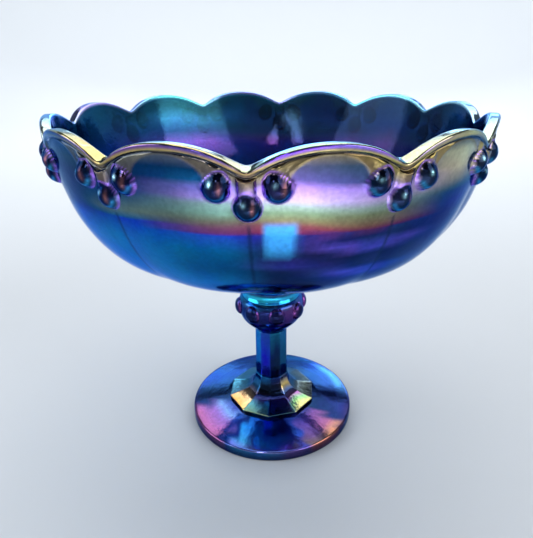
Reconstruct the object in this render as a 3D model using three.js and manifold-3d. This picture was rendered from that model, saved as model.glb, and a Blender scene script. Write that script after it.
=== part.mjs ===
// A footed bowl of pressed iridescent glass: a wide bowl with twelve scallops and hanging teardrops,
// on a ten-sided stem that grows from a round foot. The glass is one fused piece. Each mesh here is one
// section of it, from the foot up, and each section ends where the next one begins.
// Millimetres, +Z up. The origin is the centre of the circle that the foot stands on. A valley between
// two scallops points along -Y.
import * as THREE from "three";
import { mergeVertices } from "three/addons/utils/BufferGeometryUtils.js";
import Module from "manifold-3d";

// Foot: a round plate with a shallow conical top and a hollow underneath
const FOOT_RADIUS = 54;
const FOOT_EDGE_HEIGHT = 6.5; // height of the upright edge
const FOOT_EDGE_ROUND = 1.2; // radius of the edge's two corners
const FOOT_CROWN = 4; // rise of the conical top from the edge to the plinth
const FOOT_HOLLOW_RADIUS = 45;
const FOOT_HOLLOW_DEPTH = 3.5;
const FOOT_HOLLOW_SLOPE = 9; // width of the hollow's sloping edge

// Plinth: the faceted flare at the bottom of the stem
const SIDES = 10; // flat sides of the plinth and of the stem
const PLINTH_RADIUS = 29.3; // over the corners
const PLINTH_EDGE_HEIGHT = 2.2;
const PLINTH_SLOPE_HEIGHT = 3.8; // the flat facets
const PLINTH_WAIST_RADIUS = 16.8; // where the flat facets end and the curved flare begins
const FLARE_HEIGHT = 12; // the curved flare, up to the straight stem

// Stem
const STEM_RADIUS = 10.4; // over the corners
const STEM_LENGTH = 33.5;

// Beaded knop
const KNOP_RADIUS = 22.6;
const KNOP_HEIGHT = 24;
const KNOP_SEAT_LIP = 1.1; // how far its underside stands out round the stem's corners
const KNOP_GIRTH_HEIGHT = 16.5; // height of its widest ring above the stem
const KNOP_TOP_RADIUS = 18.8;
const BEADS = 8;
const BEAD_RADIUS = 4.7;
const BEAD_SINK = 3.2; // how far a bead's centre lies inside the knop's skin
const BEAD_TURN = 14; // degrees from the -Y valley to the first bead

// Neck: the waisted wafer between knop and bowl
const NECK_HEIGHT = 10;
const NECK_WAIST = 1.4; // how far it draws in from the knop's top
const NECK_TOP_RADIUS = 20;

// Bowl
const BOWL_RADIUS = 127; // outside, at the crown of a scallop
const BOWL_HEIGHT = 111; // from the neck to the crown of a scallop
const RIM_LAND = 5.8; // width of the flat top of the rim
const WALL = 4.8; // thickness of the wall under the rim
const FLOOR = 9; // thickness of the glass over the neck
const LOBES = 12;
const SCALLOP_RISE = 8.7; // crown above valley
const SCALLOP_DEPTH = 38; // how far below the rim the scallops still show
const LOBE_SWELL = 1.8; // how far a lobe stands out from its valleys at the rim
const BODY_SWELL = 0.9; // the same, low on the body

// Teardrops: in each valley a long one, with a short one on each side
const DROP_WIDTH = 10.6;
const DROP_HEIGHT = 12; // of the bulb
const DROP_SINK = 1.6; // how far a bulb's centre lies inside the wall's skin
const DROP_NECK_WIDTH = 5.6;
const LONG_DROP = 23.2; // from the rim to the bulb's lowest point
const SHORT_DROP = 20.3;
const DROP_SPACING = 12.2; // between neighbouring drops, along the wall
const DROP_BELOW_RIM = 2; // from the rim's top to where a drop's neck ends

// How finely the round pieces are cut
const ROUND = 48;
const STEPS_PER_LOBE = 6;
const ARC_STEPS = 3;
const WALL_STEPS = 10;

const { min, sin, cos, sqrt, hypot, atan, atan2, PI } = Math;
const point = (r, z) => new THREE.Vector2(r, z);
const lerp = THREE.MathUtils.lerp;
const smooth = THREE.MathUtils.smoothstep;

const wasm = await Module();
wasm.setup();

const footTop = FOOT_EDGE_HEIGHT + FOOT_CROWN;
const plinthTop = footTop + PLINTH_EDGE_HEIGHT + PLINTH_SLOPE_HEIGHT + FLARE_HEIGHT;
const stemTop = plinthTop + STEM_LENGTH;
const knopTop = stemTop + KNOP_HEIGHT;
const neckTop = knopTop + NECK_HEIGHT;

// A named mesh at a height above the table, in glass with a lustre film of the given strength
function place(name, geometry, z, color, film) {
  const material = new THREE.MeshStandardMaterial({ color, roughness: 0.08, metalness: film });
  const mesh = new THREE.Mesh(geometry, material);
  mesh.name = name;
  mesh.position.z = z;
  return mesh;
}

// A solid turned about +Z from a profile of (radius, height) points that runs from the axis, out and
// round, back to the axis, anticlockwise. With few sides it is faceted. A corner points along -Y.
function turned(profile, sides = ROUND) {
  return new THREE.LatheGeometry(profile, sides).rotateX(PI / 2);
}

// A rounded corner of the foot's edge: an arc about a centre, from one angle to another
function corner(r, z, from, to) {
  return new THREE.ArcCurve(r, z, FOOT_EDGE_ROUND, from, to, false).getPoints(ARC_STEPS);
}

// manifold-3d solid of a geometry, and back
function solidOf(geometry) {
  const bare = geometry.clone();
  bare.deleteAttribute("normal");
  bare.deleteAttribute("uv");
  const merged = mergeVertices(bare, 1e-4);
  return new wasm.Manifold(
    new wasm.Mesh({
      numProp: 3,
      vertProperties: merged.attributes.position.array,
      triVerts: new Uint32Array(merged.index.array),
    }),
  );
}

function geometryOf(solid) {
  const mesh = solid.getMesh();
  const geometry = new THREE.BufferGeometry();
  geometry.setAttribute("position", new THREE.BufferAttribute(mesh.vertProperties, 3));
  geometry.setIndex(new THREE.BufferAttribute(mesh.triVerts, 1));
  return geometry;
}

function makeFoot() {
  const inner = FOOT_RADIUS - FOOT_EDGE_ROUND;
  const underside = new THREE.QuadraticBezierCurve(
    point(FOOT_HOLLOW_RADIUS - 2 * FOOT_HOLLOW_SLOPE, FOOT_HOLLOW_DEPTH),
    point(FOOT_HOLLOW_RADIUS - FOOT_HOLLOW_SLOPE, FOOT_HOLLOW_DEPTH),
    point(FOOT_HOLLOW_RADIUS, 0),
  );
  return turned([
    point(0, FOOT_HOLLOW_DEPTH),
    ...underside.getPoints(ARC_STEPS),
    ...corner(inner, FOOT_EDGE_ROUND, -PI / 2, 0),
    ...corner(inner, FOOT_EDGE_HEIGHT - FOOT_EDGE_ROUND, 0, PI / 2),
    point(PLINTH_RADIUS, footTop),
    point(0, footTop),
  ]);
}

function makePlinth() {
  const slopeTop = PLINTH_EDGE_HEIGHT + PLINTH_SLOPE_HEIGHT;
  const top = slopeTop + FLARE_HEIGHT;
  const flare = new THREE.QuadraticBezierCurve(
    point(PLINTH_WAIST_RADIUS, slopeTop),
    point(lerp(STEM_RADIUS, PLINTH_WAIST_RADIUS, 0.3), lerp(slopeTop, top, 0.4)),
    point(STEM_RADIUS, top),
  );
  return turned(
    [
      point(0, 0),
      point(PLINTH_RADIUS, 0),
      point(PLINTH_RADIUS, PLINTH_EDGE_HEIGHT),
      ...flare.getPoints(2 * ARC_STEPS),
      point(0, top),
    ],
    SIDES,
  );
}

function makeStem() {
  const side = [point(STEM_RADIUS, 0), point(STEM_RADIUS, STEM_LENGTH)];
  return turned([point(0, 0), ...side, point(0, STEM_LENGTH)], SIDES);
}

// The knop's skin from the stem to its top, as a curve that the beads are set into
function knopSkin() {
  const seat = STEM_RADIUS + KNOP_SEAT_LIP;
  return new THREE.SplineCurve([
    point(seat, 0),
    point(lerp(seat, KNOP_RADIUS, 0.55), KNOP_GIRTH_HEIGHT * 0.4),
    point(KNOP_RADIUS, KNOP_GIRTH_HEIGHT),
    point(lerp(KNOP_TOP_RADIUS, KNOP_RADIUS, 0.75), lerp(KNOP_GIRTH_HEIGHT, KNOP_HEIGHT, 0.72)),
    point(KNOP_TOP_RADIUS, KNOP_HEIGHT),
  ]);
}

function makeKnop() {
  const body = turned([point(0, 0), ...knopSkin().getPoints(10), point(0, KNOP_HEIGHT)]);
  let solid = solidOf(body);
  for (let i = 0; i < BEADS; i++) {
    const turn = (BEAD_TURN / 180) * PI + (i / BEADS) * 2 * PI - PI / 2;
    const reach = KNOP_RADIUS - BEAD_SINK;
    const bead = new THREE.SphereGeometry(BEAD_RADIUS, 10, 6);
    bead.translate(reach * cos(turn), reach * sin(turn), KNOP_GIRTH_HEIGHT);
    solid = solid.add(solidOf(bead));
  }
  return geometryOf(solid);
}

function makeNeck() {
  const waistRadius = KNOP_TOP_RADIUS - NECK_WAIST;
  const waist = new THREE.QuadraticBezierCurve(
    point(KNOP_TOP_RADIUS, 0),
    point(2 * waistRadius - (KNOP_TOP_RADIUS + NECK_TOP_RADIUS) / 2, NECK_HEIGHT / 2),
    point(NECK_TOP_RADIUS, NECK_HEIGHT),
  );
  return turned([point(0, 0), ...waist.getPoints(2 * ARC_STEPS), point(0, NECK_HEIGHT)]);
}

// The bowl's outer wall in a valley, from the neck to the rim. Its shape is set between the neck's
// radius and the bowl's, and between the floor and the rim, by where each of these shares falls.
const rimRadius = BOWL_RADIUS - LOBE_SWELL;
const rimHeight = BOWL_HEIGHT - SCALLOP_RISE;
const WALL_SHAPE = [
  [0, 0], [0.22, 0.105], [0.53, 0.26], [0.68, 0.345], [0.79, 0.452],
  [0.882, 0.6], [0.945, 0.77], [0.985, 0.91], [1, 1],
];
const outerWall = new THREE.SplineCurve(
  WALL_SHAPE.map(([out, up]) => point(lerp(NECK_TOP_RADIUS, rimRadius, out), rimHeight * up)),
);

// The inner wall, from the floor up to the rim: the outer one moved inwards by the glass, which
// thickens towards the floor and towards the land of the rim
function innerWall() {
  const points = [];
  for (let i = 1; i <= WALL_STEPS; i++) {
    const t = i / WALL_STEPS;
    const skin = outerWall.getPointAt(t);
    const way = outerWall.getTangentAt(t);
    const thick = WALL + (RIM_LAND - WALL) * smooth(t, 0.9, 1) + (FLOOR - WALL) * (1 - smooth(t, 0.05, 0.45));
    points.push(point(skin.x - way.y * thick, min(rimHeight, skin.y + way.x * thick)));
  }
  return points;
}

// Where a point of the valley's profile goes at an angle: a lobe swells outwards between its valleys,
// and near the rim it also rises. share is 0 in a valley and 1 at a crown.
function lobed(r, z, angle) {
  const turn = ((angle + PI / 2) / (2 * PI)) * LOBES;
  const off = 2 * (turn - Math.floor(turn)) - 1;
  const share = 1 - off * off;
  const high = smooth(z, rimHeight - SCALLOP_DEPTH, rimHeight);
  const low = smooth(r, NECK_TOP_RADIUS, 0.7 * rimRadius);
  const swell = lerp(BODY_SWELL * low, LOBE_SWELL, high) * share;
  return [r + swell, z + SCALLOP_RISE * high * high * share];
}

// A turned solid with the lobes and scallops worked into it
function lobedSolid(profile) {
  const geometry = turned(profile, LOBES * STEPS_PER_LOBE);
  const at = geometry.attributes.position;
  for (let i = 0; i < at.count; i++) {
    const r = hypot(at.getX(i), at.getY(i));
    if (r < 1e-6) continue;
    const [r2, z2] = lobed(r, at.getZ(i), atan2(at.getY(i), at.getX(i)));
    at.setXYZ(i, (at.getX(i) * r2) / r, (at.getY(i) * r2) / r, z2);
  }
  return solidOf(geometry);
}

// The outer wall's radius in a valley, at a height
function wallRadius(z) {
  let [low, high] = [0, 1];
  for (let i = 0; i < 30; i++) {
    const middle = (low + high) / 2;
    if (outerWall.getPoint(middle).y < z) low = middle;
    else high = middle;
  }
  return outerWall.getPoint(low).x;
}

// A teardrop on the wall at an angle: a bulb whose lowest point is at one height, with a neck that ends
// inside the wall at another, leaning as the wall does
function makeDrop(angle, top, bottom) {
  const half = DROP_HEIGHT / 2;
  const centre = bottom + half;
  const neck = DROP_NECK_WIDTH / 2;
  const bulb = [-1, -0.75, 0, 0.75].map((s) => point((DROP_WIDTH / 2) * sqrt(1 - s * s), s * half));
  const end = top - centre;
  const drop = new THREE.LatheGeometry([...bulb, point(neck, end - neck), point(0, end)], 8);
  const lean = atan((wallRadius(top) - wallRadius(bottom)) / (top - bottom));
  const [skin] = lobed(wallRadius(centre), centre, angle);
  drop.rotateX(PI / 2).rotateY(lean).translate(skin - DROP_SINK, 0, centre).rotateZ(angle);
  return solidOf(drop);
}

function makeBowl() {
  const inner = innerWall();
  const land = point(rimRadius - RIM_LAND - 1, rimHeight);
  let solid = lobedSolid([point(0, 0), ...outerWall.getSpacedPoints(WALL_STEPS), land, point(0, rimHeight)]);
  for (let lobe = 0; lobe < LOBES; lobe++) {
    const valley = (lobe / LOBES) * 2 * PI - PI / 2;
    for (const side of [-1, 0, 1]) {
      const angle = valley + (side * DROP_SPACING) / rimRadius;
      const [, rim] = lobed(rimRadius, rimHeight, angle);
      solid = solid.add(makeDrop(angle, rim - DROP_BELOW_RIM, rim - (side ? SHORT_DROP : LONG_DROP)));
    }
  }
  const mouth = inner[inner.length - 1];
  const above = rimHeight + SCALLOP_RISE;
  const hollow = lobedSolid([point(0, inner[0].y), ...inner, point(mouth.x, above), point(0, above)]);
  return geometryOf(solid.subtract(hollow));
}

const footedBowl = new THREE.Group();
footedBowl.add(
  place("foot", makeFoot(), 0, 0x4a4fae, 0.4),
  place("plinth", makePlinth(), footTop, 0x2f5f8c, 0.4),
  place("stem", makeStem(), plinthTop, 0x0d4f93, 0.3),
  place("beaded_knop", makeKnop(), stemTop, 0x1d2a6b, 0.3),
  place("neck", makeNeck(), knopTop, 0x16204f, 0.3),
  place("bowl", makeBowl(), neckTop, 0x2f6fa6, 0.5),
);

export default footedBowl;
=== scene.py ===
import bpy
import numpy as np
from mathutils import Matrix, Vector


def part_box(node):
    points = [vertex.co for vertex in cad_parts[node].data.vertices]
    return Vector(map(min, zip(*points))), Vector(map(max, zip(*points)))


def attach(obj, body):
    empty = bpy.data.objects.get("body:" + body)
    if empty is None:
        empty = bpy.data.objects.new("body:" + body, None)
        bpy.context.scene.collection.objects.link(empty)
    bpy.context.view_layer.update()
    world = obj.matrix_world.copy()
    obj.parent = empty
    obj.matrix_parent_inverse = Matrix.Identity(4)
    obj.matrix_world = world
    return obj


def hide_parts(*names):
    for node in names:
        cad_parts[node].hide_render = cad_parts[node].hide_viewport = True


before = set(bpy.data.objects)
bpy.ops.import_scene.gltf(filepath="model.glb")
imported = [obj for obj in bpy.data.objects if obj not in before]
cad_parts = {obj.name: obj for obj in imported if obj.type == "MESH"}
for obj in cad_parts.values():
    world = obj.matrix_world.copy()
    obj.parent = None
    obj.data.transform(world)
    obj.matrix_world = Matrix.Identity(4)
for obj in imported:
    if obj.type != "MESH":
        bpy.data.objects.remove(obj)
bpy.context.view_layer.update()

# --- Foot ---------------------------------------------------------------------------------------
# A round plate of pressed cobalt glass with a shallow conical top. It stands on a flat ring, and the
# glass inside the ring is hollowed out. The top carries the fired lustre film, as the whole object does.
MM = 0.001
EDGE_HEIGHT = 6.5
EDGE_ROUND = 1.3
HOLLOW_RADIUS = 45.0
HOLLOW_DEPTH = 3.5
HOLLOW_SLOPE = 16.0  # how far in from the standing ring the hollow starts to slope
AXIS = 0.4  # radius of the smallest ring, round the point that closes an end


def arc(r, z, radius, start, end, steps):
    """Points (radius, height) of an arc: its centre plus the cosine and sine of each angle, in degrees."""
    angles = np.radians(np.linspace(start, end, steps))
    return np.column_stack([r + radius * np.cos(angles), z + radius * np.sin(angles)])


def line(start, end, steps):
    """Evenly spread points from one (radius, height) to another, the first left out."""
    share = np.linspace(0, 1, steps + 1)[1:, None]
    return np.array(start) + share * (np.array(end) - np.array(start))


def turned_points(profile, angles, reach=1.0):
    """Carries a profile round the axis: radius times sine and minus cosine of each angle, which starts
    at -Y, and the profile's height. reach stretches the radius at each angle."""
    r = profile[:, :1] * reach * np.ones_like(angles)
    z = profile[:, 1:] * np.ones_like(angles)
    return np.stack([r * np.sin(angles), -r * np.cos(angles), z], axis=-1)


def quads_between(rings, columns, first_point=0):
    """Faces between rings of points, each ring over the last, one quad to each four neighbours. The
    points are numbered ring by ring from first_point."""
    ring = np.arange(columns)
    following = (ring + 1) % columns
    low = first_point + np.arange(rings - 1)[:, None] * columns
    high = low + columns
    return np.stack([low + ring, low + following, high + following, high + ring], axis=-1).reshape(-1, 4)


def end_fans(columns, first_point, last_ring, low_middle, high_middle):
    """Triangles that close both ends: from the ring at first_point to the point low_middle, and from the
    one at last_ring to the point high_middle."""
    ring = np.arange(columns)
    following = (ring + 1) % columns
    low = np.column_stack([first_point + following, first_point + ring, np.full(columns, low_middle)])
    high = np.column_stack([last_ring + ring, last_ring + following, np.full(columns, high_middle)])
    return low.tolist() + high.tolist()


def smooth_piece(name, points, faces, material, unit=MM):
    """An object from points, given in unit metres, and faces, shaded smooth."""
    mesh = bpy.data.meshes.new(name)
    mesh.from_pydata((points * unit).tolist(), [], faces)
    mesh.polygons.foreach_set("use_smooth", np.ones(len(mesh.polygons), bool))
    mesh.materials.append(material)
    piece = bpy.data.objects.new(name, mesh)
    bpy.context.scene.collection.objects.link(piece)
    return piece


def closed_skin(name, points, material):
    """A closed piece from rings of points, the first ring under the last, with a fan at each end to a
    point in the ring's middle."""
    rings, columns = points.shape[:2]
    count = rings * columns
    faces = quads_between(rings, columns).tolist()
    faces += end_fans(columns, 0, count - columns, count, count + 1)
    middles = [points[0].mean(axis=0), points[-1].mean(axis=0)]
    return smooth_piece(name, np.vstack([points.reshape(-1, 3), middles]), faces, material)


def ease(value, start, end):
    """0 before start, 1 after end, and a smooth S between: three times the square less twice the cube."""
    t = np.clip((value - start) / (end - start), 0, 1)
    return t * t * (3 - 2 * t)


def film_and_painted_light_colours(table, way, bearing):
    """Colours of the fired lustre, with painted reflections, highlights and shade laid into them. table
    gives, for bearings in degrees round from -Y, the colours along a piece's section as rows of (way along,
    red, green, blue, strength). Between rows the colour runs evenly, and between bearings it eases over."""
    bearings = sorted(table)
    closed = bearings + [bearings[0] + 360]
    turned = (np.degrees(bearing) - bearings[0]) % 360 + bearings[0]
    place = np.interp(turned, closed, np.arange(len(closed)))
    way, place = np.broadcast_arrays(way, place)
    colours = np.zeros(way.shape + (4,))
    for index, name in enumerate(bearings):
        rows = np.array(table[name], float)
        near = np.abs(place - index)
        near = np.minimum(near, len(bearings) - near)
        weight = ease(1 - near, 0, 1)
        bands = np.stack([np.interp(way, rows[:, 0], rows[:, k]) for k in (1, 2, 3, 4)], axis=-1)
        colours += weight[..., None] * bands
    return colours


def spray_film_and_painted_light(piece, colours):
    """Puts the lustre's colour and strength, with the painted reflections, highlights and shade in them, on
    a piece's vertices, as its own attribute. The middles of the two ends come last, and take the first and
    the last of the colours."""
    given = np.asarray(colours).reshape(-1, 4)
    every = np.vstack([given, given[:1], given[-1:]])
    film_and_painted_light = piece.data.color_attributes.new("film_and_painted_light", "FLOAT_COLOR", "POINT")
    film_and_painted_light.data.foreach_set("color", every.astype(np.float32).ravel())


def drifted(way, angles, drift, seed):
    """Lets bands wander: adds a sum of slow sines of the angle and of the way along, as the lustre was
    sprayed by hand while the piece turned."""
    slow = np.sin(3 * angles + seed) + 0.6 * np.sin(7 * angles + 2.3 * seed + 0.02 * way)
    return way + drift * (slow + 0.5 * np.sin(13 * angles - seed + 0.05 * way)) / 1.6


def lustre_glass(name, seed):
    """Cobalt glass under a fired lustre. The lustre's colour and strength, with painted reflections,
    highlights and shade laid into them, come from the piece's own attribute, and clouds of noise break them
    into patches and fine mottling."""
    material = bpy.data.materials.new(name)
    material.use_nodes = True
    nodes, links = material.node_tree.nodes, material.node_tree.links
    shader = nodes["Principled BSDF"]
    place = nodes.new("ShaderNodeTexCoord")
    # the attribute holds the lustre's colours with painted reflections, highlights and shade laid in
    film_and_painted_light = nodes.new("ShaderNodeAttribute")
    film_and_painted_light.attribute_name = "film_and_painted_light"

    def noise(scale, detail):
        """A cloud pattern on the object's own coordinates, about one blot per 1/scale metres."""
        at = nodes.new("ShaderNodeMapping")
        at.inputs["Location"].default_value = (seed, -seed, 0.3 * seed)
        cloud = nodes.new("ShaderNodeTexNoise")
        cloud.inputs["Scale"].default_value = scale
        cloud.inputs["Detail"].default_value = detail
        links.new(place.outputs["Object"], at.inputs["Vector"])
        links.new(at.outputs["Vector"], cloud.inputs["Vector"])
        return cloud.outputs["Fac"]

    def spread(source, from_low, from_high, to_low, to_high):
        """Carries a value from one range to another."""
        node = nodes.new("ShaderNodeMapRange")
        node.inputs["From Min"].default_value = from_low
        node.inputs["From Max"].default_value = from_high
        node.inputs["To Min"].default_value = to_low
        node.inputs["To Max"].default_value = to_high
        links.new(source, node.inputs["Value"])
        return node.outputs["Result"]

    def combine(kind, first, second):
        """Adds or multiplies two values."""
        node = nodes.new("ShaderNodeMath")
        node.operation = kind
        links.new(first, node.inputs[0])
        links.new(second, node.inputs[1])
        return node.outputs["Value"]

    patch = spread(noise(38, 4), 0.3, 0.7, 0.0, 1.0)
    tint = nodes.new("ShaderNodeHueSaturation")
    links.new(spread(patch, 0, 1, 0.475, 0.525), tint.inputs["Hue"])
    mottling = spread(noise(520, 2), 0.3, 0.7, 0.88, 1.12)
    clouding = spread(noise(90, 3), 0.3, 0.7, 0.92, 1.08)
    links.new(combine("MULTIPLY", mottling, clouding), tint.inputs["Value"])
    links.new(film_and_painted_light.outputs["Color"], tint.inputs["Color"])
    links.new(tint.outputs["Color"], shader.inputs["Base Color"])
    strength = combine("MULTIPLY", film_and_painted_light.outputs["Alpha"], spread(patch, 0, 1, 0.85, 1.1))
    links.new(strength, shader.inputs["Metallic"])
    links.new(spread(noise(70, 3), 0.3, 0.7, 0.04, 0.13), shader.inputs["Roughness"])
    shader.inputs["Transmission Weight"].default_value = 1.0
    shader.inputs["IOR"].default_value = 1.42
    shader.inputs["Specular Tint"].default_value = (0.22, 0.48, 1.0, 1)
    shader.inputs["Thin Film IOR"].default_value = 1.4
    links.new(spread(patch, 0, 1, 330, 480), shader.inputs["Thin Film Thickness"])

    # the skin keeps the faint ripple and grain of the iron mould
    ripple = nodes.new("ShaderNodeBump")
    ripple.inputs["Strength"].default_value = 0.14
    ripple.inputs["Distance"].default_value = 0.0006
    fine_grain = spread(noise(1300, 2), 0, 1, 0, 0.25)
    links.new(combine("ADD", noise(240, 2), fine_grain), ripple.inputs["Height"])
    links.new(ripple.outputs["Normal"], shader.inputs["Normal"])

    body = nodes.new("ShaderNodeVolumeAbsorption")
    body.inputs["Color"].default_value = (0.0, 0.62, 0.9, 1)
    body.inputs["Density"].default_value = 420
    links.new(body.outputs["Volume"], nodes["Material Output"].inputs["Volume"])
    return material


foot_low, foot_high = (np.array(c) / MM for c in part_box("foot"))
foot_radius, foot_top = foot_high[0], foot_high[2]
plinth_low, plinth_high = (np.array(c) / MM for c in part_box("plinth"))
crown_radius = -plinth_low[1]
inner_edge = foot_radius - EDGE_ROUND

foot_profile = np.vstack([
    line((AXIS, HOLLOW_DEPTH), (HOLLOW_RADIUS - HOLLOW_SLOPE, HOLLOW_DEPTH), 8),
    line((HOLLOW_RADIUS - HOLLOW_SLOPE, HOLLOW_DEPTH), (HOLLOW_RADIUS - 6, HOLLOW_DEPTH - 0.7), 6),
    line((HOLLOW_RADIUS - 6, HOLLOW_DEPTH - 0.7), (HOLLOW_RADIUS, 0), 4),
    line((HOLLOW_RADIUS, 0), (inner_edge, 0), 4),
    arc(inner_edge, EDGE_ROUND, EDGE_ROUND, -80, 0, 7),
    arc(inner_edge, EDGE_HEIGHT - EDGE_ROUND, EDGE_ROUND, 0, 80, 7),
    line((inner_edge, EDGE_HEIGHT), (crown_radius + 1, foot_top - 0.1), 22),
    line((crown_radius, foot_top), (AXIS, foot_top), 10),
])
round_angles = np.linspace(0, 2 * np.pi, 288, endpoint=False)
UNDER = (0, 0.02, 0.03, 0.15, 0.3)
ROSE_FILM = [UNDER, (5.6, 0.30, 0.10, 0.30, 0.5), (6.8, 0.55, 0.18, 0.50, 0.65),
             (8.4, 0.30, 0.17, 0.62, 0.65), (9.4, 0.20, 0.40, 0.85, 0.7), (10.5, 0.05, 0.12, 0.50, 0.5)]
AZURE_FILM = [UNDER, (5.6, 0.04, 0.25, 0.55, 0.6), (6.5, 0.45, 0.45, 1.00, 0.9),
              (7.4, 0.15, 0.80, 1.00, 0.95), (9, 0.06, 0.55, 1.00, 0.95), (10.5, 0.04, 0.25, 0.80, 0.7)]
SHADE_FILM = [UNDER, (5.6, 0.06, 0.04, 0.20, 0.5), (7, 0.03, 0.06, 0.26, 0.5),
              (10.5, 0.02, 0.05, 0.18, 0.5)]
# the lustre round the foot, with painted reflections in it: pink sectors either side of the front, bright
# azure in front; darker at the sides and back
foot_film_and_painted_light = {
    -80: SHADE_FILM,
    -64: ROSE_FILM,
    -35: ROSE_FILM,
    -28: [UNDER, (5.6, 0.03, 0.12, 0.35, 0.6), (7, 0.03, 0.12, 0.40, 0.6), (10.5, 0.03, 0.06, 0.30, 0.5)],
    -22: AZURE_FILM,
    2: AZURE_FILM,
    16: [UNDER, (5.6, 0.15, 0.10, 0.40, 0.6), (6.6, 0.50, 0.40, 1.00, 0.9), (8, 0.12, 0.50, 1.00, 0.85),
         (9, 0.02, 0.06, 0.35, 0.5), (10.5, 0.02, 0.04, 0.22, 0.5)],
    26: [UNDER, (5.6, 0.15, 0.10, 0.40, 0.6), (6.6, 0.30, 0.20, 0.90, 0.8), (8, 0.10, 0.20, 0.80, 0.7),
         (10.5, 0.05, 0.08, 0.40, 0.5)],
    32: [UNDER, (5.6, 0.50, 0.15, 0.12, 0.5), (6.6, 0.85, 0.42, 0.25, 0.7), (7.6, 0.70, 0.25, 0.50, 0.7),
         (9.4, 0.40, 0.16, 0.60, 0.65), (10.5, 0.10, 0.10, 0.50, 0.5)],
    54: [UNDER, (5.6, 0.50, 0.15, 0.12, 0.5), (6.6, 0.75, 0.35, 0.20, 0.7), (7.6, 0.45, 0.16, 0.35, 0.65),
         (9.4, 0.30, 0.12, 0.45, 0.6), (10.5, 0.05, 0.06, 0.30, 0.5)],
    66: SHADE_FILM,
    130: [UNDER, (5.6, 0.10, 0.05, 0.25, 0.5), (7.2, 0.10, 0.30, 0.75, 0.7), (8, 0.04, 0.08, 0.35, 0.5),
          (10.5, 0.02, 0.05, 0.16, 0.5)],
    200: SHADE_FILM,
}
foot_glass = lustre_glass("lustre_foot", 1.7)
foot = closed_skin("foot_glass", turned_points(foot_profile, round_angles), foot_glass)
foot_way = drifted(foot_profile[:, 1:], round_angles, 0.3, 1.0)
wavering = round_angles + 0.05 * np.sin(foot_profile[:, :1] / 2.1 + 3 * np.sin(9 * round_angles))
spray_film_and_painted_light(foot, film_and_painted_light_colours(foot_film_and_painted_light, foot_way, wavering))
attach(foot, "root")
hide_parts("foot")

# --- Plinth -------------------------------------------------------------------------------------
# The ten-sided flare at the bottom of the stem: an upright edge, then facets that sweep up in a hollow
# curve to the stem. Pressed in one with the foot, with corners softened by the fire polish.
SIDES = 10
CORNER_SHARPNESS = 5.0  # per millimetre: higher is sharper
STEM_EXTRA = 0.5  # over the frame's radius


def facet_reach(angles, corner_radius):
    """How far out a softened ten-sided outline reaches at each angle, over its corner radius. For each
    side the distance is the apothem over the cosine of the angle from the side's middle, and the result
    is a soft minimum of these: minus the log of the sum of exponentials."""
    apothem = corner_radius * np.cos(np.pi / SIDES)
    middles = (np.arange(SIDES) + 0.5) * 2 * np.pi / SIDES
    facing = np.cos(angles[:, None] - middles)
    distances = np.where(facing > 0.3, apothem / np.maximum(facing, 0.3), 1e3)
    soft = -np.log(np.exp(-CORNER_SHARPNESS * (distances - corner_radius)).sum(axis=1)) / CORNER_SHARPNESS
    return (soft + corner_radius) / corner_radius


def faceted_points(profile, angles):
    """Carries a profile round the axis as a ten-sided prism whose corner radius is the profile's."""
    reach = np.array([facet_reach(angles, max(r, 2.0)) for r in profile[:, 0]])
    return turned_points(profile, angles, reach)


def smooth_curve(points, steps):
    """A curve through the points. Between each two it is a cubic whose slope at a point is half the way
    from the point before to the point after. The result is spread evenly along its length."""
    p = np.vstack([2 * points[0] - points[1], points, 2 * points[-1] - points[-2]])
    t = np.linspace(0, len(points) - 1, 60 * len(points))
    i = np.minimum(t.astype(int), len(points) - 2)
    f = (t - i)[:, None]
    a, b, c, d = p[i], p[i + 1], p[i + 2], p[i + 3]
    curve = 0.5 * (2 * b + (c - a) * f + (2 * a - 5 * b + 4 * c - d) * f**2 + (3 * b - a - 3 * c + d) * f**3)
    length = np.concatenate([[0], np.cumsum(np.hypot(*np.diff(curve, axis=0).T))])
    at = np.linspace(0, length[-1], steps)
    return np.column_stack([np.interp(at, length, curve[:, 0]), np.interp(at, length, curve[:, 1])])


# bearings across one side, in degrees, crowded at its corners
side_steps = np.array([0, 0.7, 1.4, 2.2, 3.2, 5.5, 9, 13.5, 18, 22.5, 27, 30.5, 32.8, 33.8, 34.6, 35.3])
facet_angles = np.radians(np.arange(SIDES)[:, None] * 360 / SIDES + side_steps).ravel()
plinth_base, plinth_top = plinth_low[2], plinth_high[2]
stem_low, stem_high = (np.array(c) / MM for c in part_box("stem"))
stem_radius = -stem_low[1] + STEM_EXTRA
facet_curve = smooth_curve(np.array([
    (crown_radius - 0.4, plinth_base + 2.3),
    (22.5, plinth_base + 4.0),
    (17.2, plinth_base + 6.0),
    (13.6, plinth_base + 9.4),
    (11.6, plinth_base + 13.4),
    (stem_radius, plinth_top),
]), 26)
plinth_profile = np.vstack([
    line((AXIS, plinth_base), (crown_radius - 0.3, plinth_base), 8),
    arc(crown_radius - 0.4, plinth_base + 0.4, 0.4, -60, 0, 3),
    arc(crown_radius - 0.4, plinth_base + 1.9, 0.4, 0, 70, 4),
    facet_curve,
    line((stem_radius, plinth_top), (AXIS, plinth_top), 3),
])
EDGE_FILM = (10.5, 0.02, 0.05, 0.2, 0.4)
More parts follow.
